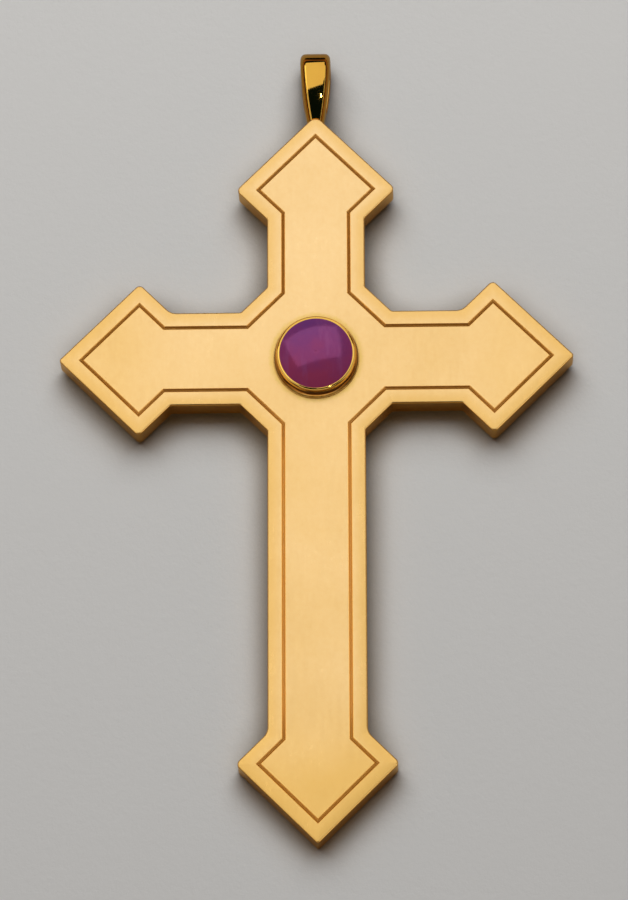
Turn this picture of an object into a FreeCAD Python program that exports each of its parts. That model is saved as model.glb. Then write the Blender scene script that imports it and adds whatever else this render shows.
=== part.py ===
import FreeCAD, Part
import math
import os
import Sketcher

# A bishop's pectoral cross: a shallow box of gilt sheet with a set cabochon and a loop for its chain.
#
# Frame: +Z runs up to the head and the loop, +X to the right of someone facing the cross, and the
# front faces -Y. The origin is on the back face, on the axis of the stone.
# The body is three layers. From the back: back plate, side walls, front plate.

doc = FreeCAD.newDocument("PectoralCross")

# ---------------------------------------------------------------- driving dimensions, in mm

DIMENSIONS = [
    # outline of the body
    ("body_height", 100.0),
    ("body_width", 67.9),
    ("body_thickness", 3.6),
    ("head_reach", 34.3),
    ("limb_width", 12.9),
    ("terminal_width", 21.2),
    ("crossing_chamfer", 3.5),
    # sheet and strip
    ("front_thickness", 1.0),
    ("back_thickness", 0.8),
    ("wall_thickness", 0.9),
    # filed corners and edges
    ("head_tip_round", 1.2),
    ("tip_round", 0.35),
    ("side_round", 0.7),
    ("inner_round", 0.5),
    ("neck_round", 1.8),
    ("edge_round", 0.22),
    # engraved line
    ("line_inset", 2.1),
    ("line_width", 0.48),
    ("line_depth", 0.22),
    # vent hole for soldering
    ("vent_diameter", 0.8),
    # stone and its setting
    ("stone_diameter", 10.0),
    ("stone_girdle", 0.1),
    ("dome_height", 1.13),
    ("bezel_thickness", 0.27),
    ("bezel_lip", 0.18),
    ("bezel_lip_height", 0.37),
    ("bezel_round", 0.42),
    ("flare_width", 0.42),
    ("flare_edge", 0.2),
    ("bearing_width", 0.8),
    ("bearing_height", 0.69),
    ("collet_peg_diameter", 2.0),
    ("spacer_diameter", 6.0),
    # loop for the chain
    ("loop_rise", 9.3),
    ("loop_top_width", 4.0),
    ("loop_foot_width", 2.05),
    ("loop_side_radius", 45.0),
    ("loop_strip", 1.0),
    ("loop_top_radius", 3.0),
    ("loop_leg_radius", 14.0),
    ("loop_eye_foot_radius", 1.3),
    ("loop_shoulder", 0.75),
    ("loop_inner_round", 0.15),
    ("loop_foot_depth", 1.2),
    # peg that holds the loop
    ("loop_peg_diameter", 0.8),
    ("loop_peg_in_loop", 0.7),
    ("loop_peg_in_block", 3.0),
    ("block_width", 9.0),
]

# places closer together than this are the same place
SAME_PLACE = 0.001
# how far a cutting shape runs past the metal it cuts
CUT_MARGIN = 1.0

sheet = doc.addObject("Spreadsheet::Sheet", "Sizes")


class Size:
    """A size that knows its value and the expression that ties it to the sheet."""

    def __init__(self, value, text):
        self.value = value
        self.text = text

    def combine(self, other, symbol, value):
        text = other.text if isinstance(other, Size) else repr(other)
        return Size(value, f"({self.text} {symbol} {text})")

    def __add__(self, other):
        return self.combine(other, "+", self.value + plain(other))

    def __sub__(self, other):
        return self.combine(other, "-", self.value - plain(other))

    def __mul__(self, other):
        return self.combine(other, "*", self.value * plain(other))

    def __truediv__(self, other):
        return self.combine(other, "/", self.value / plain(other))

    def __neg__(self):
        return self * -1.0


def plain(number):
    return number.value if isinstance(number, Size) else number


def fill_sheet():
    """Write each driving dimension to its own row, and return them by name."""
    sizes = {}
    for row, (alias, value) in enumerate(DIMENSIONS, start=1):
        sheet.set(f"A{row}", alias)
        sheet.set(f"B{row}", str(value))
        sheet.setAlias(f"B{row}", alias)
        sizes[alias] = Size(value, f"Sizes.{alias}")
    doc.recompute()
    return sizes


S = fill_sheet()
ZERO = Size(0.0, "0")
ROOT_TWO = Size(math.sqrt(2), "sqrt(2)")
# both sides of the engraved line slope at this angle, in degrees, so each moves in by the line's depth
GRAVER_SLOPE = Size(45.0, "45")

foot_reach = S["body_height"] - S["head_reach"]
arm_reach = S["body_width"] / 2
wall_depth = S["body_thickness"] - S["front_thickness"] - S["back_thickness"]
# the mid-plane of the body, measured forward from the inside of the back plate
middle_depth = S["body_thickness"] / 2 - S["back_thickness"]
# rounding a square corner takes this much off its point
head_tip_loss = S["head_tip_round"] * (ROOT_TWO - 1)
stone_radius = S["stone_diameter"] / 2
bezel_radius = stone_radius + S["bezel_thickness"]
collet_base_radius = bezel_radius + S["flare_width"]
collet_base_height = S["flare_edge"] + S["flare_width"]
collet_peg_radius = S["collet_peg_diameter"] / 2
stone_seat = collet_base_height + S["bearing_height"]

# ---------------------------------------------------------------- helpers

PARTS = []


def new_body(label):
    body = doc.addObject("PartDesign::Body", label)
    body.Label = label
    PARTS.append(body)
    return body


def lay_forward(part, depth):
    """Move a part forward, away from the back face."""
    part.setExpression("Placement.Base.y", (-depth).text)


def stand_on_front(part):
    """Turn a part whose own +Z is its height so that it stands on the front face."""
    part.Placement = FreeCAD.Placement(FreeCAD.Vector(), FreeCAD.Rotation(FreeCAD.Vector(1, 0, 0), 90))
    lay_forward(part, S["body_thickness"])


def new_sketch(body, plane, offset=ZERO):
    """A sketch on one of the body's own origin planes, moved along that plane's normal."""
    origin_plane = next(item for item in body.Origin.OriginFeatures if item.Role == plane)
    sketch = body.newObject("Sketcher::SketchObject", f"{body.Name}Sketch")
    sketch.AttachmentSupport = (origin_plane, "")
    sketch.MapMode = "FlatFace"
    if offset is not ZERO:
        sketch.setExpression("AttachmentOffset.Base.z", offset.text)
    doc.recompute()
    return sketch


def add_bound(sketch, size, kind, *where):
    """A dimension in a sketch, bound to the sheet."""
    index = sketch.addConstraint(Sketcher.Constraint(kind, *where, size.value))
    sketch.setExpression(f"Constraints[{index}]", size.text)


def pin(sketch, curve, point, x, y):
    """Hold one point of a curve at (x, y) from the sketch's origin."""
    for kind, size, axis in (("DistanceX", x, -2), ("DistanceY", y, -1)):
        if abs(size.value) < SAME_PLACE:
            sketch.addConstraint(Sketcher.Constraint("PointOnObject", curve, point, axis))
        elif size.value > 0:
            add_bound(sketch, size, kind, -1, 1, curve, point)
        else:
            add_bound(sketch, -size, kind, curve, point, -1, 1)


def vector(x, y):
    return FreeCAD.Vector(plain(x), plain(y), 0)


def add_polygon(sketch, points):
    """A closed polygon with every corner pinned."""
    first = sketch.GeometryCount
    count = len(points)
    for index in range(count):
        start = vector(*points[index])
        end = vector(*points[(index + 1) % count])
        sketch.addGeometry(Part.LineSegment(start, end), False)
    for index in range(count):
        following = first + (index + 1) % count
        sketch.addConstraint(Sketcher.Constraint("Coincident", first + index, 2, following, 1))
    for index, (x, y) in enumerate(points):
        pin(sketch, first + index, 1, x, y)


def add_circle(sketch, x, y, diameter):
    circle = Part.Circle(vector(x, y), FreeCAD.Vector(0, 0, 1), diameter.value / 2)
    index = sketch.addGeometry(circle, False)
    pin(sketch, index, 3, x, y)
    add_bound(sketch, diameter, "Diameter", index)


def pad(body, sketch, length, both_sides=False, draft=None):
    feature = body.newObject("PartDesign::Pad", f"{body.Name}Pad")
    feature.Profile = sketch
    feature.setExpression("Length", length.text)
    if draft is not None:
        feature.setExpression("TaperAngle", (-draft).text)
    if both_sides:
        feature.SideType = "Symmetric"
    doc.recompute()
    return feature


def pocket(body, sketch, length, draft=None, both_sides=False, along_normal=False):
    """Cut from the sketch, against its normal unless told otherwise, and make sure metal really goes."""
    volume_before = body.Shape.Volume
    feature = body.newObject("PartDesign::Pocket", f"{body.Name}Pocket")
    feature.Profile = sketch
    feature.setExpression("Length", length.text)
    feature.Reversed = along_normal
    if draft is not None:
        feature.setExpression("TaperAngle", (-draft).text)
    if both_sides:
        feature.SideType = "Symmetric"
    doc.recompute()
    if not body.Shape.Volume < volume_before:
        raise RuntimeError(f"{feature.Name} cuts nothing")
    return feature


def fillet(body, base, edges, radius):
    feature = body.newObject("PartDesign::Fillet", f"{body.Name}Fillet")
    feature.Base = (base, [f"Edge{number}" for number in edges])
    feature.setExpression("Radius", radius.text)
    doc.recompute()
    return feature


def revolve(body, sketch):
    """Turn a profile drawn in the XZ plane round the Z axis."""
    feature = body.newObject("PartDesign::Revolution", f"{body.Name}Revolution")
    feature.Profile = sketch
    feature.ReferenceAxis = (sketch, ["V_Axis"])
    feature.Angle = 360
    doc.recompute()
    return feature


# ---------------------------------------------------------------- outline of the cross


def limb(reach, inset):
    """Corners of one limb, tip first, as (distance along it, half-width), moved inward by inset.

    Every slanting side is at 45 degrees, so moving the sides inward by inset moves a square
    corner by inset times the root of two, and a blunt one by inset times (root of two - 1).
    """
    half_limb = S["limb_width"] / 2 - inset
    half_terminal = S["terminal_width"] / 2 - inset * ROOT_TWO
    tip = reach - inset * ROOT_TWO
    shoulder = tip - half_terminal
    neck = shoulder - half_terminal + half_limb
    crossing = S["limb_width"] / 2 + S["crossing_chamfer"] - inset * (ROOT_TWO - 1)
    return [(tip, ZERO), (shoulder, half_terminal), (neck, half_limb), (crossing, half_limb)]


def outline(inset):
    """All corners of the cross, clockwise from the left of the head, moved inward by inset."""
    points = []
    for quarter, reach in enumerate((S["head_reach"], arm_reach, foot_reach, arm_reach)):
        right_side = limb(reach, inset)
        left_side = [(along, -across) for along, across in reversed(right_side[1:])]
        for along, across in left_side + right_side:
            # quarter turns clockwise: head, right arm, foot, left arm
            points.append([(across, along), (along, -across), (-across, -along), (-along, across)][quarter])
    return points


def on_point(edge, x, z):
    """Whether an upright corner edge of the outline stands at (x, z)."""
    return all(math.hypot(v.X - x, v.Z - z) < SAME_PLACE for v in edge.Vertexes)


def corner_edges(shape, corners):
    """Numbers of the edges that stand on the given outline corners."""
    found = []
    for number, edge in enumerate(shape.Edges, start=1):
        if any(on_point(edge, plain(x), plain(z)) for x, z in corners):
            found.append(number)
    return found


def mirrored(x, z):
    return [(x, z), (-x, z)]


def file_corners(body, feature):
    """Round the upright corners: head tip, other tips, sides of the terminals, inner corners.

    Both necks of the foot and the upper neck of each arm are rounder than the other inner corners.
    They are filed first, so that the inner corners found later are only the rest.
    """
    reaches = {"up": S["head_reach"], "down": foot_reach, "across": arm_reach}
    head_tip, other_tips, sides, inner = [], [], [], []
    for direction, reach in reaches.items():
        tip, shoulder, neck, crossing = limb(reach, ZERO)
        tips = head_tip if direction == "up" else other_tips
        for group, point in ((tips, tip), (sides, shoulder), (inner, neck), (inner, crossing)):
            along, across = point
            if direction == "up":
                group += mirrored(across, along)
            elif direction == "down":
                group += mirrored(across, -along)
            else:
                group += mirrored(along, across) + mirrored(along, -across)
    foot_neck, arm_neck = limb(foot_reach, ZERO)[2], limb(arm_reach, ZERO)[2]
    soft_necks = mirrored(foot_neck[1], -foot_neck[0]) + mirrored(*arm_neck)
    for corners, radius in (
        (soft_necks, S["neck_round"]),
        (head_tip, S["head_tip_round"]),
        (other_tips, S["tip_round"]),
        (sides, S["side_round"]),
        (inner, S["inner_round"]),
    ):
        feature = fillet(body, feature, corner_edges(feature.Shape, corners), radius)
    return feature


def face_edges(shape, y):
    """Numbers of the edges that lie in the plane at this y."""
    found = []
    for number, edge in enumerate(shape.Edges, start=1):
        if abs(edge.BoundBox.YMin - y) < SAME_PLACE and abs(edge.BoundBox.YMax - y) < SAME_PLACE:
            found.append(number)
    return found


# ---------------------------------------------------------------- body of the cross


def make_front_plate():
    """Front sheet: filed outline, soft front edge, engraved border line, hole for the collet peg."""
    body = new_body("front_plate")
    profile = new_sketch(body, "XZ_Plane")
    add_polygon(profile, outline(ZERO))
    feature = pad(body, profile, S["front_thickness"])
    feature = file_corners(body, feature)
    front_edges = face_edges(feature.Shape, -S["front_thickness"].value)
    fillet(body, feature, front_edges, S["edge_round"])

    # the engraved line: the field inside its outer side is sunk, then built up again inside its inner side
    sunk = new_sketch(body, "XZ_Plane", S["front_thickness"])
    add_polygon(sunk, outline(S["line_inset"] - S["line_width"] / 2))
    pocket(body, sunk, S["line_depth"], draft=GRAVER_SLOPE)
    field = new_sketch(body, "XZ_Plane", S["front_thickness"] - S["line_depth"])
    add_polygon(field, outline(S["line_inset"] + S["line_width"] / 2 - S["line_depth"]))
    pad(body, field, S["line_depth"], draft=GRAVER_SLOPE)

    peg_hole = new_sketch(body, "XZ_Plane", S["front_thickness"])
    add_circle(peg_hole, ZERO, ZERO, S["collet_peg_diameter"])
    pocket(body, peg_hole, S["front_thickness"])
    lay_forward(body, S["body_thickness"] - S["front_thickness"])


def make_back_plate():
    """Back sheet: the same outline, soft rear edge, one small vent hole in the foot terminal."""
    body = new_body("back_plate")
    profile = new_sketch(body, "XZ_Plane")
    add_polygon(profile, outline(ZERO))
    feature = pad(body, profile, S["back_thickness"])
    feature = file_corners(body, feature)
    fillet(body, feature, face_edges(feature.Shape, 0.0), S["edge_round"])

    vent = new_sketch(body, "XZ_Plane", S["back_thickness"])
    vent_height = S["terminal_width"] / 2 - foot_reach
    add_circle(vent, ZERO, vent_height, S["vent_diameter"])
    pocket(body, vent, S["back_thickness"])


def make_walls():
    """Side strips: one frame all round, drilled at the head tip and parted at the four tips."""
    frame = doc.addObject("PartDesign::Body", "WallFrame")
    profile = new_sketch(frame, "XZ_Plane")
    add_polygon(profile, outline(ZERO))
    add_polygon(profile, outline(S["wall_thickness"]))
    feature = pad(frame, profile, wall_depth)
    file_corners(frame, feature)

    drilling = new_sketch(frame, "XY_Plane", S["head_reach"])
    add_circle(drilling, ZERO, -middle_depth, S["loop_peg_diameter"])
    pocket(frame, drilling, S["wall_thickness"] * 2)
    lay_forward(frame, S["back_thickness"])

    quarters = {
        "wall_upper_left": (-1, 0),
        "wall_upper_right": (0, 0),
        "wall_lower_left": (-1, -1),
        "wall_lower_right": (0, -1),
    }
    for label, (sideways, upward) in quarters.items():
        quarter = doc.addObject("Part::Box", f"{label}_quarter")
        quarter.setExpression("Length", arm_reach.text)
        quarter.setExpression("Width", S["body_thickness"].text)
        quarter.setExpression("Height", foot_reach.text)
        quarter.setExpression("Placement.Base.x", (arm_reach * sideways).text)
        quarter.setExpression("Placement.Base.y", (-S["body_thickness"]).text)
        quarter.setExpression("Placement.Base.z", (foot_reach * upward).text)
        wall = doc.addObject("Part::Common", label)
        wall.Base = frame
        wall.Tool = quarter
        wall.Label = label
        PARTS.append(wall)
    doc.recompute()


def make_head_block():
    """Solid wedge that fills the head tip between the plates, drilled for the loop's peg."""
    body = new_body("head_block")
    profile = new_sketch(body, "XZ_Plane")
    tip = S["head_reach"] - S["wall_thickness"] * ROOT_TWO
    half_width = S["block_width"] / 2
    add_polygon(profile, [(ZERO, tip), (half_width, tip - half_width), (-half_width, tip - half_width)])
    pad(body, profile, wall_depth)
    drilling = new_sketch(body, "XY_Plane", tip)
    add_circle(drilling, ZERO, -middle_depth, S["loop_peg_diameter"])
    pocket(body, drilling, S["loop_peg_in_block"])
    lay_forward(body, S["back_thickness"])


def make_crossing_spacer():
    """Round spacer between the plates behind the stone, with the hole for the collet peg."""
    body = new_body("crossing_spacer")
    profile = new_sketch(body, "XZ_Plane")
    add_circle(profile, ZERO, ZERO, S["spacer_diameter"])
    add_circle(profile, ZERO, ZERO, S["collet_peg_diameter"])
    pad(body, profile, wall_depth)
    lay_forward(body, S["back_thickness"])


# ---------------------------------------------------------------- stone and its setting


def add_arc(sketch, centre_x, centre_y, start, end):
    """An arc drawn counterclockwise from start to end about a centre, ends still free."""
    centre = vector(centre_x, centre_y)
    first = vector(*start)
    last = vector(*end)
    circle = Part.Circle(centre, FreeCAD.Vector(0, 0, 1), (first - centre).Length)
    angles = [math.atan2(point.y - centre.y, point.x - centre.x) for point in (first, last)]
    return sketch.addGeometry(Part.ArcOfCircle(circle, *angles), False)


def add_line(sketch, start, end):
    return sketch.addGeometry(Part.LineSegment(vector(*start), vector(*end)), False)


def join(sketch, curve, point, other, other_point):
    sketch.addConstraint(Sketcher.Constraint("Coincident", curve, point, other, other_point))


def add_arc_profile(sketch, corners, centre, radius):
    """Closed profile: straight from corner to corner, then an arc from the last back to the first."""
    curves = [add_line(sketch, start, end) for start, end in zip(corners, corners[1:])]
    arc = add_arc(sketch, *centre, corners[-1], corners[0])
    curves.append(arc)
    for curve, following in zip(curves, curves[1:] + curves[:1]):
        join(sketch, curve, 2, following, 1)
    for curve, corner in zip(curves, corners):
        pin(sketch, curve, 1, *corner)
    add_bound(sketch, radius, "Radius", arc)


def make_collet_base():
    """Turned base ring of the setting: flat foot, small upright edge, quarter-round hollow flare."""
    body = new_body("collet_base")
    profile = new_sketch(body, "XZ_Plane")
    corners = [
        (collet_base_radius, S["flare_edge"]),
        (collet_base_radius, ZERO),
        (collet_peg_radius, ZERO),
        (collet_peg_radius, collet_base_height),
        (bezel_radius, collet_base_height),
    ]
    add_arc_profile(profile, corners, (collet_base_radius, collet_base_height), S["flare_width"])
    revolve(body, profile)
    stand_on_front(body)


def make_bezel_rim():
    """Thin wall round the stone, its top rounded outside and leaned in over the stone's shoulder."""
    body = new_body("bezel_rim")
    profile = new_sketch(body, "XZ_Plane")
    girdle_top = stone_seat + S["stone_girdle"]
    lip_radius = stone_radius - S["bezel_lip"]
    lip_top = girdle_top + S["bezel_lip_height"]
    round_foot = lip_top - S["bezel_round"]
    round_centre = bezel_radius - S["bezel_round"]
    corners = [
        (round_centre, lip_top),
        (lip_radius, lip_top),
        (stone_radius, girdle_top),
        (stone_radius, collet_base_height),
        (bezel_radius, collet_base_height),
        (bezel_radius, round_foot),
    ]
    add_arc_profile(profile, corners, (round_centre, round_foot), S["bezel_round"])
    revolve(body, profile)
    stand_on_front(body)


def make_stone_bearing():
    """Ring inside the wall that the stone rests on."""
    body = new_body("stone_bearing")
    profile = new_sketch(body, "XZ_Plane")
    inner = stone_radius - S["bearing_width"]
    add_polygon(
        profile,
        [
            (inner, collet_base_height),
            (stone_radius, collet_base_height),
            (stone_radius, stone_seat),
            (inner, stone_seat),
        ],
    )
    revolve(body, profile)
    stand_on_front(body)


def make_cabochon():
    """Round stone: flat back, short girdle, steep shoulder under the lip, low spherical dome."""
    body = new_body("amethyst_cabochon")
    profile = new_sketch(body, "XZ_Plane")
    girdle_top = stone_seat + S["stone_girdle"]
    lip_radius = stone_radius - S["bezel_lip"]
    dome_foot = girdle_top + S["bezel_lip_height"]
    dome_top = dome_foot + S["dome_height"]
    dome_radius = (lip_radius * lip_radius + S["dome_height"] * S["dome_height"]) / (S["dome_height"] * 2)
    corners = [
        (ZERO, dome_top),
        (ZERO, stone_seat),
        (stone_radius, stone_seat),
        (stone_radius, girdle_top),
        (lip_radius, dome_foot),
    ]
    add_arc_profile(profile, corners, (ZERO, dome_top - dome_radius), dome_radius)
    revolve(body, profile)
    stand_on_front(body)


def make_collet_peg():
    """Pin through the front plate that ties the setting to the spacer."""
    peg = doc.addObject("Part::Cylinder", "collet_peg")
    peg.Label = "collet_peg"
    length = wall_depth + S["front_thickness"] + collet_base_height
    peg.setExpression("Radius", collet_peg_radius.text)
    peg.setExpression("Height", length.text)
    peg.Placement = FreeCAD.Placement(FreeCAD.Vector(), FreeCAD.Rotation(FreeCAD.Vector(1, 0, 0), 90))
    lay_forward(peg, S["back_thickness"])
    PARTS.append(peg)


# ---------------------------------------------------------------- loop for the chain


def add_teardrop(sketch, centre_height, top_radius, leg_radius, foot_height=None, foot_radius=None):
    """Side view of the loop: half-round top and two convex legs that close towards the foot.

    The foot is either cut flat at foot_height or closed by a small arc of foot_radius.
    """
    leg_centre = leg_radius - top_radius
    # how far down the legs run
    if foot_radius is None:
        foot_x = math.sqrt(leg_radius.value**2 - (centre_height - foot_height).value ** 2) - leg_centre.value
        foot_z = foot_height.value
        foot_centre = None
    else:
        reach = leg_radius.value - foot_radius.value
        drop = math.sqrt(reach**2 - leg_centre.value**2)
        foot_centre = centre_height.value - drop
        foot_x = foot_radius.value * leg_centre.value / reach
        foot_z = foot_centre - foot_radius.value * drop / reach
    right_top = (top_radius, centre_height)
    left_top = (-top_radius, centre_height)
    right_foot = (foot_x, foot_z)
    left_foot = (-foot_x, foot_z)
    top = add_arc(sketch, 0.0, centre_height, right_top, left_top)
    right_leg = add_arc(sketch, -leg_centre, centre_height, right_foot, right_top)
    left_leg = add_arc(sketch, leg_centre, centre_height, left_top, left_foot)
    pin(sketch, top, 3, ZERO, centre_height)
    add_bound(sketch, top_radius, "Radius", top)
    for end in (1, 2):
        sketch.addConstraint(Sketcher.Constraint("Horizontal", top, end, top, 3))
    for leg, leg_top, top_end in ((right_leg, 2, 1), (left_leg, 1, 2)):
        sketch.addConstraint(Sketcher.Constraint("Tangent", leg, leg_top, top, top_end))
        add_bound(sketch, leg_radius, "Radius", leg)
    if foot_centre is None:
        foot = add_line(sketch, left_foot, right_foot)
        join(sketch, left_leg, 2, foot, 1)
        join(sketch, foot, 2, right_leg, 1)
        for end in (1, 2):
            add_bound(sketch, foot_height, "DistanceY", -1, 1, foot, end)
    else:
        foot = add_arc(sketch, 0.0, foot_centre, left_foot, right_foot)
        sketch.addConstraint(Sketcher.Constraint("Tangent", left_leg, 2, foot, 1))
        sketch.addConstraint(Sketcher.Constraint("Tangent", foot, 2, right_leg, 1))
        add_bound(sketch, foot_radius, "Radius", foot)


def bow_centre(low, high, radius, side):
    """Centre of the arc through two points that bows outward to the given side (+1 right, -1 left)."""
    chord = high - low
    middle = (low + high) / 2
    away = math.sqrt(radius**2 - (chord.Length / 2) ** 2)
    inward = FreeCAD.Vector(-chord.y, chord.x, 0) * (side / chord.Length)
    return middle + inward * away


def add_loop_front_view(sketch, top, foot):
    """Front view of the loop: bowed tapering sides, flat top, and a foot astride the head tip."""
    half_top = S["loop_top_width"] / 2
    half_foot = S["loop_foot_width"] / 2
    saddle_radius = S["head_tip_round"]
    saddle_centre = S["head_reach"] - saddle_radius * ROOT_TWO
    saddle_end = saddle_centre.value + math.sqrt(saddle_radius.value**2 - half_foot.value**2)
    frame_edge = half_top + CUT_MARGIN
    low, high = foot - CUT_MARGIN, top + CUT_MARGIN
    add_polygon(sketch, [(-frame_edge, low), (frame_edge, low), (frame_edge, high), (-frame_edge, high)])
    left_foot = (-half_foot, saddle_end)
    right_foot = (half_foot, saddle_end)
    ridge = add_line(sketch, (-half_top, top), (half_top, top))
    saddle = add_arc(sketch, 0.0, saddle_centre, right_foot, left_foot)
    # arcs run counterclockwise, so the right side is drawn upward and the left side downward
    sides = (
        (1, right_foot, (half_top, top), 1, 2),
        (-1, left_foot, (-half_top, top), 2, 1),
    )
    for side, low, high, low_end, high_end in sides:
        centre = bow_centre(vector(*low), vector(*high), S["loop_side_radius"].value, side)
        start, end = (low, high) if low_end == 1 else (high, low)
        bow = add_arc(sketch, centre.x, centre.y, start, end)
        join(sketch, bow, low_end, saddle, low_end)
        join(sketch, bow, high_end, ridge, high_end)
        add_bound(sketch, S["loop_side_radius"], "Radius", bow)
    pin(sketch, ridge, 1, -half_top, top)
    pin(sketch, ridge, 2, half_top, top)
    pin(sketch, saddle, 3, ZERO, saddle_centre)
    add_bound(sketch, saddle_radius, "Radius", saddle)
    add_bound(sketch, half_foot, "DistanceX", -1, 1, saddle, 1)
    add_bound(sketch, half_foot, "DistanceX", saddle, 2, -1, 1)


def rim_edges(shape, outside):
    """Edges where the flanks of the loop meet its outer faces, or where they meet its eye."""
    top_radius = S["loop_top_radius"].value
    centre_height = (S["head_reach"] + S["loop_rise"] - S["loop_top_radius"]).value
    leg_centre = (S["loop_leg_radius"] - S["loop_top_radius"]).value
    leg_radius = S["loop_leg_radius"].value
    saddle_top = (S["head_reach"] - head_tip_loss).value
    found = []
    for number, edge in enumerate(shape.Edges, start=1):
        middle = edge.valueAt((edge.FirstParameter + edge.LastParameter) / 2)
        ends = [vertex.Point for vertex in edge.Vertexes]
        crosses = min(point.x for point in ends) < 0 < max(point.x for point in ends)
        if crosses or abs(middle.x) < SAME_PLACE:
            continue
        if middle.z > centre_height:
            depth = top_radius - math.hypot(middle.y, middle.z - centre_height)
        else:
            depth = leg_radius - math.hypot(abs(middle.y) + leg_centre, middle.z - centre_height)
        at_surface = depth < SAME_PLACE
        in_saddle = middle.z < saddle_top
        if outside and at_surface and not (in_saddle and max(p.z for p in ends) < saddle_top):
            found.append(number)
        if not outside and not at_surface and not in_saddle:
            found.append(number)
    return found


def make_bail_loop():
    """Teardrop loop: side view padded, front view cut to a taper, edges rolled over, foot drilled."""
    body = new_body("bail_loop")
    top = S["head_reach"] + S["loop_rise"]
    foot = S["head_reach"] - S["loop_foot_depth"]
    centre_height = top - S["loop_top_radius"]

    side_view = new_sketch(body, "YZ_Plane")
    add_teardrop(side_view, centre_height, S["loop_top_radius"], S["loop_leg_radius"], foot_height=foot)
    add_teardrop(
        side_view,
        centre_height,
        S["loop_top_radius"] - S["loop_strip"],
        S["loop_leg_radius"] - S["loop_strip"],
        foot_radius=S["loop_eye_foot_radius"],
    )
    pad(body, side_view, S["loop_top_width"], both_sides=True)

    front_view = new_sketch(body, "XZ_Plane")
    add_loop_front_view(front_view, top, foot)
    loop_depth = S["loop_top_radius"] * 2
    feature = pocket(body, front_view, loop_depth + CUT_MARGIN, both_sides=True)
    feature = fillet(body, feature, rim_edges(feature.Shape, outside=True), S["loop_shoulder"])
    feature = fillet(body, feature, rim_edges(feature.Shape, outside=False), S["loop_inner_round"])

    drilling = new_sketch(body, "XY_Plane", foot)
    add_circle(drilling, ZERO, ZERO, S["loop_peg_diameter"])
    drilled = S["loop_foot_depth"] - head_tip_loss + S["loop_peg_in_loop"]
    pocket(body, drilling, drilled, along_normal=True)
    lay_forward(body, S["body_thickness"] / 2)


def make_bail_peg():
    """Pin from the head block up into the foot of the loop."""
    peg = doc.addObject("Part::Cylinder", "bail_peg")
    peg.Label = "bail_peg"
    block_tip = S["head_reach"] - S["wall_thickness"] * ROOT_TWO
    peg_foot = block_tip - S["loop_peg_in_block"]
    peg_top = S["head_reach"] - head_tip_loss + S["loop_peg_in_loop"]
    peg.setExpression("Radius", (S["loop_peg_diameter"] / 2).text)
    peg.setExpression("Height", (peg_top - peg_foot).text)
    peg.setExpression("Placement.Base.z", peg_foot.text)
    lay_forward(peg, S["body_thickness"] / 2)
    PARTS.append(peg)


# ---------------------------------------------------------------- build, check and write

make_front_plate()
make_back_plate()
make_walls()
make_head_block()
make_crossing_spacer()
make_collet_base()
make_bezel_rim()
make_stone_bearing()
make_cabochon()
make_collet_peg()
make_bail_loop()
make_bail_peg()
doc.recompute()


def check_document():
    for item in doc.Objects:
        if "Invalid" in item.State or "Error" in item.State:
            raise RuntimeError(f"{item.Label} failed to recompute: {item.State}")
    for part in PARTS:
        if part.Shape.isNull() or not part.Shape.isValid():
            raise RuntimeError(f"{part.Label} has no valid shape")
        if len(part.Shape.Solids) != 1:
            raise RuntimeError(f"{part.Label} should be one solid")


check_document()
os.makedirs("parts", exist_ok=True)
for part in PARTS:
    part.Shape.exportStep(f"parts/{part.Label}.step")
    print(f"{part.Label}: {part.Shape.Volume:.2f} mm3")
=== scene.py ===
import math

import bpy
from mathutils import Matrix, Vector


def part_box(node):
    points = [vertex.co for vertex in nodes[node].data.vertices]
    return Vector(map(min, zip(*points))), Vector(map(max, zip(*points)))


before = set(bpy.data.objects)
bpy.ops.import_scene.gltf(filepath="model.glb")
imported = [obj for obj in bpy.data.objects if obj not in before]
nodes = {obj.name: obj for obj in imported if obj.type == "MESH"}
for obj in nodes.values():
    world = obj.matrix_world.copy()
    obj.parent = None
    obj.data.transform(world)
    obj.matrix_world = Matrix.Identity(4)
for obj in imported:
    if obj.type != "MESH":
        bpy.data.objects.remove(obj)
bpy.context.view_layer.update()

MM = 0.001

# The cross stands in the XZ plane with its front towards -Y, as in the record's frame.
# Azimuths are measured from the front (-Y) towards +X, elevations from the horizon towards the head (+Z).
# Angles are in degrees, lengths in metres, and colours are linear.

# camera: sees the front from the foot end, a touch from the right
CAMERA_AZIMUTH = 1.32
CAMERA_ELEVATION = -18.15
CAMERA_ROLL = -0.2
CAMERA_DISTANCE = 683.6 * MM
CAMERA_LENS = 209.0  # millimetres, as Blender takes it
AIM_SIDE = -0.34 * MM
AIM_BELOW_STONE = 12.8 * MM

# pale sheet that the cross lies on; its opening keeps inside the outline by the inset,
# and by the shrink times the gap between the cross and the sheet
SHEET_REACH = 420 * MM
OPENING_INSET = 0.05 * MM
OPENING_SHRINK = 0.45
PAPER = (0.66, 0.66, 0.64, 1)
PAPER_IN_REFLECTIONS = (0.37, 0.32, 0.22, 1)
CONTACT_SHADE = (0.02, 0.02, 0.015, 1)
BACKDROP = (0.6, 0.6, 0.58, 1)
OVERHEAD = (0.012, 0.012, 0.009, 1)
# what the metal mirrors, from the level of the sheet (0) to straight in front (1)
ROOM_STOPS = [
    (0.00, (0.20, 0.14, 0.08, 1)),
    (0.10, (0.16, 0.09, 0.05, 1)),
    (0.22, (0.42, 0.21, 0.12, 1)),
    (0.34, (0.30, 0.14, 0.07, 1)),
    (0.42, (0.003, 0.009, 0.016, 1)),
]

# ---------------------------------------------------------------- small helpers


def direction(azimuth, elevation):
    """Unit vector from the object towards this azimuth and elevation."""
    a, e = math.radians(azimuth), math.radians(elevation)
    return Vector((math.sin(a) * math.cos(e), -math.cos(a) * math.cos(e), math.sin(e)))


def link(obj):
    bpy.context.scene.collection.objects.link(obj)
    return obj


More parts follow.
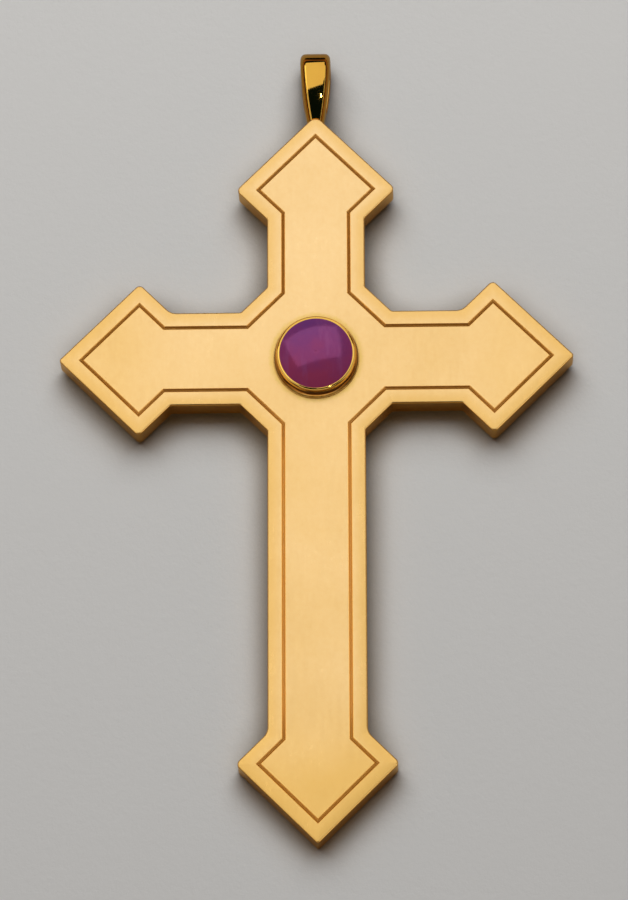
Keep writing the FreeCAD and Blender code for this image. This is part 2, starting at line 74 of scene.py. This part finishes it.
class Graph:
    """Short names for building a node tree. Apart from add and xyz, each call returns one output."""

    def __init__(self, tree):
        self.tree = tree
        self.tree.nodes.clear()

    def add(self, kind, inputs=None, **settings):
        node = self.tree.nodes.new(kind)
        for name, value in settings.items():
            setattr(node, name, value)
        for key, value in (inputs or {}).items():
            if isinstance(value, bpy.types.NodeSocket):
                self.tree.links.new(value, node.inputs[key])
            else:
                node.inputs[key].default_value = value
        return node

    def math(self, operation, a, b=0.0, clamp=False):
        return self.add("ShaderNodeMath", {0: a, 1: b}, operation=operation, use_clamp=clamp).outputs[0]

    def chain(self, operation, values):
        """One operation over a whole list, such as the least or the sum of many values."""
        result = values[0]
        for value in values[1:]:
            result = self.math(operation, result, value)
        return result

    def smooth(self, value, low, high, to_low=0.0, to_high=1.0):
        """Smooth step of a value between low and high."""
        inputs = {"Value": value, "From Min": low, "From Max": high, "To Min": to_low, "To Max": to_high}
        return self.add("ShaderNodeMapRange", inputs, interpolation_type="SMOOTHSTEP").outputs[0]

    def linear(self, value, low, high, to_low, to_high):
        inputs = {"Value": value, "From Min": low, "From Max": high, "To Min": to_low, "To Max": to_high}
        return self.add("ShaderNodeMapRange", inputs).outputs[0]

    def spread(self, noise, to_low, to_high):
        """The range that a noise mostly stays in, spread between two values."""
        return self.linear(noise, 0.3, 0.7, to_low, to_high)

    def blend(self, factor, a, b):
        """Mix two colours."""
        node = self.add("ShaderNodeMix", {"Factor": factor}, data_type="RGBA")
        for socket, value in ((node.inputs[6], a), (node.inputs[7], b)):
            if isinstance(value, bpy.types.NodeSocket):
                self.tree.links.new(value, socket)
            else:
                socket.default_value = value
        return node.outputs[2]

    def ramp(self, factor, stops):
        """Colour that runs through (position, colour) stops."""
        node = self.add("ShaderNodeValToRGB", {0: factor})
        elements = node.color_ramp.elements
        while len(elements) < len(stops):
            elements.new(1.0)
        for element, (position, colour) in zip(elements, stops):
            element.position = position
            element.color = colour
        return node.outputs[0]

    def place(self):
        """Position on the object."""
        return self.add("ShaderNodeTexCoord").outputs["Object"]

    def xyz(self, vector):
        return list(self.add("ShaderNodeSeparateXYZ", {0: vector}).outputs)

    def stretched(self, vector, scale):
        return self.add("ShaderNodeVectorMath", {0: vector, 1: scale}, operation="MULTIPLY").outputs[0]

    def noise(self, vector, scale, detail=2.0, roughness=0.5):
        inputs = {"Vector": vector, "Scale": scale, "Detail": detail, "Roughness": roughness}
        return self.add("ShaderNodeTexNoise", inputs).outputs["Fac"]

    def bump(self, height, distance, strength=1.0, normal=None):
        inputs = {"Height": height, "Distance": distance, "Strength": strength}
        if normal is not None:
            inputs["Normal"] = normal
        return self.add("ShaderNodeBump", inputs).outputs[0]

    def edge(self, radius):
        """0 on flat metal, rising to 1 on an edge or in a corner of about this radius."""
        rounded = self.add("ShaderNodeBevel", {"Radius": radius}, samples=6).outputs[0]
        sharp = self.add("ShaderNodeNewGeometry").outputs["Normal"]
        same = self.add("ShaderNodeVectorMath", {0: rounded, 1: sharp}, operation="DOT_PRODUCT").outputs[1]
        return self.smooth(same, 0.999, 0.93)

    def hollow(self, distance, local=True):
        """0 in the open, rising to 1 deep in a groove or a corner of about this size."""
        inputs = {"Distance": distance}
        opened = self.add("ShaderNodeAmbientOcclusion", inputs, samples=8, only_local=local).outputs["AO"]
        return self.smooth(opened, 0.95, 0.35)

    def principled(self, **inputs):
        named = {name.replace("_", " "): value for name, value in inputs.items()}
        return self.add("ShaderNodeBsdfPrincipled", named).outputs[0]


def new_material(name, shade):
    material = bpy.data.materials.new(name)
    material.use_nodes = True
    g = Graph(material.node_tree)
    output = g.add("ShaderNodeOutputMaterial")
    g.tree.links.new(shade(g), output.inputs["Surface"])
    return material


# ---------------------------------------------------------------- outline of the body


# where the corners of each stretch of the outline are looked for
CROSSING_REACH = 9.85 * MM
SHAFT_SIDE = 9 * MM
SHAFT_TOP = -10.1 * MM
SHAFT_BOTTOM = -45 * MM
FOOT_TOP = -51.5 * MM
ARM_START = 20 * MM
# the corners where the engraved line turns from the shaft into the crossing lie between two heights,
# below the face and inside the edge
ENGRAVED_TOP = -8.5 * MM
ENGRAVED_BOTTOM = -9.5 * MM
ENGRAVED_DEPTH = 0.15 * MM
ENGRAVED_INSET = 1 * MM


def outline_lines():
    """The straight lines of the outline, read from the corners of the front plate."""
    corners = [v.co for v in nodes["front_plate"].data.vertices]
    shaft = [p for p in corners if SHAFT_BOTTOM < p.z < SHAFT_TOP and abs(p.x) < SHAFT_SIDE]
    middle = [p for p in corners if max(abs(p.x), abs(p.z)) < CROSSING_REACH]
    foot = [p for p in corners if p.z < FOOT_TOP]
    foot_tip = max(abs(p.x) - p.z for p in foot)
    foot_back = max(abs(p.x) + p.z for p in foot)
    half_limb = max(abs(p.x) for p in shaft)
    below_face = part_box("front_plate")[0].y + ENGRAVED_DEPTH
    engraved = [abs(p.x) for p in corners if p.y > below_face and ENGRAVED_BOTTOM < p.z < ENGRAVED_TOP]
    line_corners = [x for x in engraved if x < half_limb - ENGRAVED_INSET]
    return {
        "line": half_limb - sum(line_corners) / len(line_corners),
        "half_limb": half_limb,
        "crossing": max(abs(p.x) + abs(p.z) for p in middle),
        "half_terminal": (foot_tip + foot_back) / 2,
        "foot": foot_tip,
        "head": max(abs(p.x) + p.z for p in corners),
        "arm": max(abs(p.x) + abs(p.z) for p in corners if abs(p.x) > ARM_START),
    }


OUTLINE = outline_lines()


def rim_distance(g, place):
    """How far inside the outline a point lies, which is below 0 outside it."""
    x, _, z = g.xyz(place)
    side, side_z = g.math("ABSOLUTE", x), g.math("ABSOLUTE", z)
    half_limb, half_terminal = OUTLINE["half_limb"], OUTLINE["half_terminal"]

    def slanted(reach, along, across):
        """Distance from a 45 degree edge."""
        short = g.math("SUBTRACT", reach, g.math("ADD", along, across))
        return g.math("MULTIPLY", short, math.sqrt(0.5))

    def diamond(along, across, reach):
        off_centre = g.math("ABSOLUTE", g.math("SUBTRACT", along, reach - half_terminal))
        return slanted(half_terminal, off_centre, across)

    shaft = g.chain("MINIMUM", [
        g.math("SUBTRACT", half_limb, side),
        g.math("SUBTRACT", OUTLINE["head"] - half_terminal, z),
        g.math("ADD", OUTLINE["foot"] - half_terminal, z),
    ])
    arms = g.chain("MINIMUM", [
        g.math("SUBTRACT", half_limb, side_z),
        g.math("SUBTRACT", OUTLINE["arm"] - half_terminal, side),
    ])
    return g.chain("MAXIMUM", [
        diamond(z, side, OUTLINE["head"]),
        diamond(g.math("MULTIPLY", z, -1.0), side, OUTLINE["foot"]),
        diamond(side, side_z, OUTLINE["arm"]),
        shaft,
        arms,
        slanted(OUTLINE["crossing"], side, side_z),
    ])


# ---------------------------------------------------------------- materials

# scale factors that draw a noise out into streaks along the shaft
ALONG_SHAFT = (1.0, 1.0, 0.035)

# painted shade: the satin head and foot colours are lit and shaded copies of one satin gold, darker and more
# orange towards the foot
SATIN_HEAD = (0.97, 0.667, 0.315, 1)
SATIN_FOOT = (0.91, 0.562, 0.168, 1)
SATIN_BORDER = (0.83, 0.495, 0.13, 1)
GOLD_RICH = (0.92, 0.54, 0.12, 1)
GOLD_RED = (0.88, 0.44, 0.08, 1)
GOLD_TARNISH = (0.46, 0.19, 0.03, 1)
LINE_TARNISH = (0.42, 0.19, 0.02, 1)
POLISHED_RICH = (0.68, 0.37, 0.055, 1)
POLISHED_RED = (0.60, 0.29, 0.045, 1)
RIM_RICH = (0.78, 0.47, 0.09, 1)
RIM_RED = (0.72, 0.40, 0.07, 1)
BASE_GOLD = (0.78, 0.48, 0.14, 1)
# brown heat stain of the base, also used as painted shade on its foot side
BASE_STAIN = (0.54, 0.245, 0.04, 1)
# painted shadow: near-black for the dark band under the rim and on the base next to it
DIRT = (0.05, 0.012, 0.001, 1)
# painted shadow: the darker colour of the face round the setting
HALO = (0.80, 0.53, 0.13, 1)
RAW_GOLD = (0.62, 0.42, 0.22, 1)
RAW_PATCH = (0.36, 0.2, 0.12, 1)
VIOLET = (0.31, 0.08, 0.38, 1)
WINE_RED = (0.66, 0.092, 0.245, 1)
VEIL = (0.62, 0.18, 0.50, 1)
STONE_GLEAM = (0.80, 0.22, 0.58, 1)

# the face is rolled down a little towards its outline, as hand finishing leaves it
ROLL_WIDTH = 1.7 * MM
ROLL_DEPTH = 0.05 * MM
# the loop's flat faces bulge from side to side as if turned to this radius
CROWN_RADIUS = 10 * MM

# the setting, measured on its own pieces
BASE_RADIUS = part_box("collet_base")[1].x
RIM_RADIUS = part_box("bezel_rim")[1].x
RIM_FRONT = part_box("bezel_rim")[0].y


def setting_distance(g, place):
    """How far a point lies from the axis of the stone."""
    across = g.stretched(place, (1.0, 0.0, 1.0))
    return g.add("ShaderNodeVectorMath", {0: across}, operation="LENGTH").outputs["Value"]


def richness(g, place, cloud):
    """Painted shade with some random tone: 0 at the head, rising down the shaft and towards the ends of the
    arms to 1 at the foot, where the face is coloured darker and more orange as if less light reached it.
    """
    side, _, height = g.xyz(place)
    total = g.chain("ADD", [
        g.smooth(height, 30 * MM, -20 * MM, 0.0, 0.38),
        g.smooth(height, -45 * MM, -59 * MM, 0.0, 0.62),
        g.smooth(g.math("ABSOLUTE", side), 17 * MM, 27 * MM, 0.0, 0.25),
    ])
    return g.math("ADD", total, g.spread(cloud, -0.15, 0.15), clamp=True)


def engraved_line(g, inside, mottle):
    """1 in the engraved line and 0 off it, with a slightly ragged edge."""
    off_line = g.math("ABSOLUTE", g.math("SUBTRACT", inside, OUTLINE["line"]))
    off_line = g.math("ADD", off_line, g.spread(mottle, -0.05 * MM, 0.05 * MM))
    return g.smooth(off_line, 0.26 * MM, 0.10 * MM)


def setting_halo(g, place, mottle):
    """A ragged ring of painted shadow on the face round the setting."""
    off_setting = g.math("SUBTRACT", setting_distance(g, place), BASE_RADIUS)
    off_setting = g.math("ADD", off_setting, g.spread(mottle, -0.2 * MM, 0.2 * MM))
    return g.smooth(off_setting, 0.8 * MM, 0.0, 0.0, 0.8)


def tarnish_at(g, place):
    """How dark the hollows are: most towards the head, least on the shaft."""
    height = g.xyz(place)[2]
    head = g.smooth(height, -2 * MM, -16 * MM, 0.7, 0.10)
    foot = g.smooth(height, -47 * MM, -52 * MM, 0.0, 0.30)
    return g.math("ADD", head, foot)


def gilt_sheet(g):
    """Satin faces with a fine grain along the shaft, polished sides and edges, a tarnished engraved line,
    and painted shade towards the foot and round the setting.
    """
    place = g.place()
    facing = g.xyz(g.add("ShaderNodeNewGeometry").outputs["True Normal"])[1]
    flat = g.smooth(g.math("ABSOLUTE", facing), 0.5, 0.95)
    front_only = g.smooth(facing, -0.1, -0.4)
    inside = rim_distance(g, place)
    cloud = g.noise(place, 90, detail=4)
    patches = g.noise(place, 320, detail=3)
    mottle = g.noise(place, 2100, detail=3, roughness=0.65)
    worn = g.edge(0.25 * MM)
    deep = g.hollow(0.6 * MM)
    border = g.smooth(inside, 2.0 * MM, 0.3 * MM, 0.0, 0.6)
    engraved = g.math("MULTIPLY", engraved_line(g, inside, mottle), front_only)
    halo = g.math("MULTIPLY", setting_halo(g, place, mottle), front_only)
    tarnish = tarnish_at(g, place)

    # painted shade: the face runs from the lit head colour to the shaded foot colour down the cross
    colour = g.blend(richness(g, place, cloud), SATIN_HEAD, SATIN_FOOT)
    colour = g.blend(border, colour, SATIN_BORDER)
    # painted shadow: the face is darkened in a ragged ring round the setting
    colour = g.blend(halo, colour, HALO)
    colour = g.blend(g.math("MULTIPLY", worn, 0.7), colour, GOLD_RICH)
    colour = g.blend(flat, g.blend(g.spread(patches, 0.0, 0.6), GOLD_RICH, GOLD_RED), colour)
    colour = g.blend(g.spread(mottle, 0.0, 0.10), colour, GOLD_RED)
    colour = g.blend(g.math("MULTIPLY", deep, tarnish), colour, GOLD_TARNISH)
    colour = g.blend(g.math("MULTIPLY", engraved, tarnish), colour, LINE_TARNISH)

    streaks = g.noise(g.stretched(place, ALONG_SHAFT), 9000, detail=3, roughness=0.6)
    grit = g.noise(place, 14000, detail=1)
    grain = g.math("ADD", g.math("MULTIPLY", streaks, 0.6), g.math("MULTIPLY", grit, 0.4))
    face_rough = g.chain("ADD", [
        g.spread(grain, 0.29, 0.39),
        g.spread(cloud, -0.025, 0.025),
        g.spread(mottle, -0.025, 0.025),
        g.math("MULTIPLY", border, -0.05),
        g.math("MULTIPLY", worn, -0.12),
    ])
    rough = g.chain("ADD", [
        g.linear(flat, 0.0, 1.0, 0.15, face_rough),
        g.math("MULTIPLY", deep, 0.15),
        g.math("MULTIPLY", engraved, 0.2),
    ])

    roll = g.linear(inside, 0.0, ROLL_WIDTH, 1.0, 0.0)
    rolled = g.bump(g.math("MULTIPLY", g.math("MULTIPLY", roll, roll), -1.0), ROLL_DEPTH)
    brush = g.noise(g.stretched(place, ALONG_SHAFT), 2600, detail=2)
    normal = g.bump(g.math("ADD", grain, brush), 0.0030 * MM, normal=rolled)
    return g.principled(Base_Color=colour, Metallic=1.0, Roughness=rough, Normal=normal)


def filed_gold(g):
    """Side strips: drawn and filed along their length, then polished, a little darker in the corners."""
    place = g.place()
    lines = g.noise(g.stretched(place, (0.05, 1.0, 0.05)), 5000, detail=3)
    cloud = g.noise(place, 320, detail=3)
    deep = g.hollow(1.2 * MM)
    colour = g.blend(g.spread(cloud, 0.0, 0.6), GOLD_RICH, GOLD_RED)
    colour = g.blend(g.math("MULTIPLY", deep, 0.5), colour, GOLD_TARNISH)
    rough = g.spread(lines, 0.16, 0.26)
    normal = g.bump(lines, 0.0016 * MM)
    return g.principled(Base_Color=colour, Metallic=1.0, Roughness=rough, Normal=normal)


def polished_gold(g, place, rich, red, crown_radius=None, dirt=0.0):
    """Mirror-polished gilt metal with fine wiping scratches and the slight waviness of hand polishing.

    With a crown radius, faces that look flat from side to side bulge as if turned to that radius. A shadow
    mask paints the metal darker towards near-black, as painted shadow.
    """
    waves = g.noise(place, 420, detail=1)
    wipes = g.noise(g.stretched(place, (0.15, 1.0, 0.6)), 9000, detail=3, roughness=0.65)
    cloud = g.noise(place, 300, detail=3)
    deep = g.hollow(0.5 * MM)
    colour = g.blend(g.linear(cloud, 0.35, 0.7, 0.0, 0.6), rich, red)
    colour = g.blend(g.math("MULTIPLY", deep, 0.5), colour, GOLD_TARNISH)
    # painted shadow: the metal is blended towards near-black by the shadow mask
    colour = g.blend(dirt, colour, DIRT)
    rough = g.linear(wipes, 0.35, 0.7, 0.04, 0.08)
    rough = g.math("ADD", rough, g.math("MULTIPLY", dirt, 0.4))
    base = g.bump(waves, 0.012 * MM)
    if crown_radius is not None:
        bulge = g.stretched(place, (1 / crown_radius, 0.0, 0.0))
        base = g.add("ShaderNodeVectorMath", {0: base, 1: bulge}, operation="ADD").outputs[0]
        base = g.add("ShaderNodeVectorMath", {0: base}, operation="NORMALIZE").outputs[0]
    normal = g.bump(wipes, 0.0004 * MM, normal=base)
    return g.principled(Base_Color=colour, Metallic=1.0, Roughness=rough, Normal=normal)


def crowned_gold(g):
    """Loop for the chain."""
    return polished_gold(g, g.place(), POLISHED_RICH, POLISHED_RED, crown_radius=CROWN_RADIUS)


def towards_foot(g, place):
    """0 on the head side of the setting, rising to 1 on its foot side."""
    return g.smooth(g.xyz(place)[2], 1.5 * MM, -3.5 * MM)


def burnished_gold(g):
    """Rim of the setting: a polished lip, with painted shadow low on the wall towards the foot of the cross,
    a dark ragged band under the lip.
    """
    place = g.place()
    depth = g.math("SUBTRACT", g.xyz(place)[1], RIM_FRONT)
    ragged = g.linear(g.noise(place, 260, detail=3), 0.35, 0.65, -0.35 * MM, 0.35 * MM)
    # painted shadow: a dark ragged band low on the rim wall, on its foot side only
    dirt = g.smooth(g.math("ADD", depth, ragged), 0.40 * MM, 0.70 * MM, 0.0, 0.95)
    dirt = g.math("MULTIPLY", dirt, towards_foot(g, place))
    return polished_gold(g, place, RIM_RICH, RIM_RED, dirt=dirt)


def soldered_gold(g):
    """Base ring of the setting: satin metal with a brown heat stain laid only on its foot side, so that it
    is also painted shade there, and a painted shadow next to the rim on that side.
    """
    place = g.place()
    stain = g.noise(place, 900, detail=4, roughness=0.65)
    streaks = g.noise(g.stretched(place, (1.0, 0.3, 1.0)), 3800, detail=2)
    low = towards_foot(g, place)
    # heat stain and painted shade: the brown is confined to the foot side of the base
    stained = g.math("MULTIPLY", g.linear(stain, 0.35, 0.65, 0.5, 1.0), low)
    colour = g.blend(stained, BASE_GOLD, BASE_STAIN)
    # painted shadow: a ragged near-black band on the base next to the rim, on its foot side
    gap = g.math("SUBTRACT", setting_distance(g, place), RIM_RADIUS)
    gap = g.math("ADD", gap, g.linear(g.noise(place, 240, detail=2), 0.35, 0.65, -0.1 * MM, 0.12 * MM))
    gap = g.math("MULTIPLY", g.smooth(gap, 0.10 * MM, 0.0, 0.0, 0.95), low)
    colour = g.blend(gap, colour, DIRT)
    rough = g.spread(streaks, 0.30, 0.42)
    return g.principled(Base_Color=colour, Metallic=1.0, Roughness=rough, Normal=g.bump(streaks, 0.012 * MM))


def raw_gold(g):
    """Hidden metal inside: matt from the solderer's pickle, with dark patches."""
    place = g.place()
    patches = g.noise(place, 500, detail=5, roughness=0.7)
    colour = g.blend(g.smooth(patches, 0.45, 0.65), RAW_GOLD, RAW_PATCH)
    rough = g.spread(patches, 0.45, 0.65)
    return g.principled(Base_Color=colour, Metallic=1.0, Roughness=rough, Normal=g.bump(patches, 0.01 * MM))


def amethyst(g):
    """Cloudy purple quartz: violet towards the head, redder towards the foot, under a glassy polish."""
    place = g.place()
    height = g.xyz(place)[2]
    cloud = g.noise(place, 260, detail=4, roughness=0.55)
    veils = g.noise(g.stretched(place, (1.0, 0.6, 0.25)), 700, detail=3, roughness=0.6)
    down = g.linear(height, 4.5 * MM, -3.0 * MM, 0.0, 1.0)
    down = g.math("ADD", down, g.spread(cloud, -0.25, 0.25), clamp=True)
    colour = g.blend(down, VIOLET, WINE_RED)
    colour = g.blend(g.smooth(veils, 0.52, 0.75, 0.0, 0.35), colour, VEIL)
    polish = g.noise(place, 1500, detail=1)
    return g.principled(
        Base_Color=colour,
        Roughness=g.spread(polish, 0.10, 0.15),
        IOR=1.55,
        Specular_IOR_Level=1.0,
        Specular_Tint=STONE_GLEAM,
        Normal=g.bump(polish, 0.001 * MM),
    )


def paper(g):
    """Pale sheet, darker where the metal mirrors it, clear from behind and open under the back plate."""
    light_path = g.add("ShaderNodeLightPath")
    place = g.place()
    covered = g.math("MULTIPLY", g.hollow(5 * MM, local=False), 0.7)
    seen = g.blend(covered, PAPER, CONTACT_SHADE)
    colour = g.blend(light_path.outputs["Is Camera Ray"], PAPER_IN_REFLECTIONS, seen)
    fibres = g.noise(place, 900, detail=4, roughness=0.7)
    surface = g.principled(Base_Color=colour, Roughness=0.9, Normal=g.bump(fibres, 0.05 * MM))
    clear = g.add("ShaderNodeBsdfTransparent").outputs[0]
    behind = g.add("ShaderNodeNewGeometry").outputs["Backfacing"]
    # only light passes the opening, and it shrinks where the sheet is further behind the cross
    gap = g.xyz(place)[1]
    inset = g.math("ADD", g.math("MULTIPLY", gap, OPENING_SHRINK), OPENING_INSET)
    under = g.math("GREATER_THAN", rim_distance(g, place), inset)
    under = g.math("SUBTRACT", under, light_path.outputs["Is Camera Ray"], clamp=True)
    opened = g.math("MAXIMUM", behind, under)
    return g.add("ShaderNodeMixShader", {0: opened, 1: surface, 2: clear}).outputs[0]


MATERIAL_OF = {
    gilt_sheet: ["front_plate", "back_plate"],
    filed_gold: ["wall_upper_left", "wall_upper_right", "wall_lower_left", "wall_lower_right"],
    burnished_gold: ["bezel_rim"],
    soldered_gold: ["collet_base"],
    crowned_gold: ["bail_loop"],
    raw_gold: ["head_block", "crossing_spacer", "bail_peg", "collet_peg", "stone_bearing"],
    amethyst: ["amethyst_cabochon"],
}

for shade, names in MATERIAL_OF.items():
    material = new_material(shade.__name__, shade)
    for name in names:
        slots = nodes[name].data.materials
        slots.clear()
        slots.append(material)

# ---------------------------------------------------------------- stage


def make_sheet():
    """The pale sheet: the cross lies on it with its foot tip and the back of its loop."""
    loop_back = max((v.co for v in nodes["bail_loop"].data.vertices), key=lambda p: p.y)
    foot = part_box("back_plate")[0].z
    slope = loop_back.y / (loop_back.z - foot)
    corners = [(-1, -1), (1, -1), (1, 1), (-1, 1)]
    verts = [(x * SHEET_REACH, slope * (z * SHEET_REACH - foot), z * SHEET_REACH) for x, z in corners]
    mesh = bpy.data.meshes.new("sheet")
    mesh.from_pydata(verts, [], [(0, 1, 2, 3)])
    mesh.materials.append(new_material("paper", paper))
    obj = link(bpy.data.objects.new("sheet", mesh))
    return obj


sheet = make_sheet()

# ---------------------------------------------------------------- light


def group(name, objects):
    """A collection that a light can be limited to."""
    collection = bpy.data.collections.new(name)
    for obj in objects:
        collection.objects.link(obj)
    return collection


def softbox(name, at, size, distance, radiance, roll=0.0, only=None):
    """A rectangular light in a direction (azimuth, elevation), turned to the origin, with a (width, height).

    With only, it lights just the pieces of that collection.
    """
    width, height = size
    light = bpy.data.lights.new(name, "AREA")
    light.shape = "RECTANGLE"
    light.size = width
    light.size_y = height
    light.energy = radiance * math.pi * width * height
    obj = link(bpy.data.objects.new(name, light))
    towards = direction(*at)
    obj.location = towards * distance
    obj.rotation_mode = "QUATERNION"
    turn = towards.to_track_quat("Z", "Y").to_matrix() @ Matrix.Rotation(math.radians(roll), 3, "Z")
    obj.rotation_quaternion = turn.to_quaternion()
    obj.visible_camera = False
    if only is not None:
        obj.light_linking.receiver_collection = only
    return obj


plates = [nodes["front_plate"], nodes["back_plate"]]
walls = [obj for name, obj in nodes.items() if name.startswith("wall_")]
plates_only = group("plates", plates)
walls_only = group("walls", walls)
body_only = group("body", plates + walls)
mirrors_only = group("mirrors", [nodes["bail_loop"], nodes["bezel_rim"], nodes["collet_base"]])
loop_only = group("loop", [nodes["bail_loop"]])
rim_only = group("rim", [nodes["bezel_rim"]])
base_only = group("base", [nodes["collet_base"]])
sheet_only = group("sheet_only", [sheet])

# the key light reaches everything; the other two lift the faces and the sheet
softbox("key", at=(-4, 30), size=(0.94, 0.68), distance=0.7, radiance=1.095, roll=17)
softbox("low_fill", at=(0, -5), size=(0.6, 0.26), distance=0.7, radiance=0.46, only=plates_only)
softbox("sheet_light", at=(-4, 38), size=(0.94, 0.67), distance=0.7, radiance=1.9, only=sheet_only)
# sides and edges of the body
for side in (-1, 1):
    softbox("front_fill", at=(side * 45, -25), size=(0.7, 0.6), distance=0.9, radiance=0.9, only=body_only)
    softbox("side_fill", at=(side * 62, 5), size=(0.8, 1.0), distance=0.9, radiance=0.5, only=body_only)
softbox("foot_fill", at=(0, -52), size=(1.3, 0.6), distance=0.9, radiance=0.3, only=walls_only)
# reflections in the polished loop and setting
softbox("catch_light", at=(8.2, -5.8), size=(0.012, 0.045), distance=0.7, radiance=60.0, only=mirrors_only)
softbox("left_strip", at=(-30, 0), size=(0.40, 1.2), distance=0.8, radiance=0.80, only=loop_only)
softbox("right_strip", at=(42, 0), size=(0.25, 1.2), distance=0.8, radiance=0.55, only=loop_only)
softbox("rim_left", at=(-56, -2), size=(1.4, 0.9), distance=0.8, radiance=0.64, only=rim_only)
softbox("rim_right", at=(58, 2), size=(1.1, 0.9), distance=0.8, radiance=0.56, only=rim_only)
softbox("rim_low", at=(0, -45), size=(0.9, 0.5), distance=0.8, radiance=0.62, only=rim_only)
softbox("rim_high", at=(10, 72), size=(1.2, 0.5), distance=0.8, radiance=0.80, only=rim_only)
softbox("base_low", at=(0, -62), size=(1.2, 0.7), distance=0.8, radiance=0.9, only=base_only)
# the back
softbox("back", at=(140, -8), size=(1.0, 1.0), distance=0.9, radiance=1.0)
softbox("back_top", at=(190, 55), size=(0.6, 0.6), distance=0.9, radiance=0.8)


def make_room():
    """Plain backdrop to the camera, and dark warm surroundings with a darker top in the reflections."""
    world = bpy.data.worlds.new("studio")
    bpy.context.scene.world = world
    world.use_nodes = True
    g = Graph(world.node_tree)
    _, forward, upward = g.xyz(g.add("ShaderNodeTexCoord").outputs["Generated"])
    surroundings = g.ramp(g.math("ABSOLUTE", forward), ROOM_STOPS)
    room = g.blend(g.smooth(upward, 0.93, 0.975), surroundings, OVERHEAD)
    seen = g.add("ShaderNodeLightPath").outputs["Is Camera Ray"]
    background = g.add("ShaderNodeBackground", {"Color": g.blend(seen, room, BACKDROP)})
    g.add("ShaderNodeOutputWorld", {"Surface": background.outputs[0]})


make_room()

# ---------------------------------------------------------------- camera


def make_camera():
    """A long lens aimed at the shaft a little below the stone."""
    data = bpy.data.cameras.new("camera")
    data.lens = CAMERA_LENS
    data.clip_start = 0.01
    camera = link(bpy.data.objects.new("camera", data))
    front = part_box("front_plate")[0].y
    aim = Vector((AIM_SIDE, front, -AIM_BELOW_STONE))
    towards = direction(CAMERA_AZIMUTH, CAMERA_ELEVATION)
    camera.location = aim + towards * CAMERA_DISTANCE
    turn = towards.to_track_quat("Z", "Y").to_matrix()
    roll = Matrix.Rotation(math.radians(CAMERA_ROLL), 3, "Z")
    camera.rotation_mode = "QUATERNION"
    camera.rotation_quaternion = (turn @ roll).to_quaternion()
    bpy.context.scene.camera = camera


make_camera()
bpy.context.scene.view_settings.view_transform = "Standard"
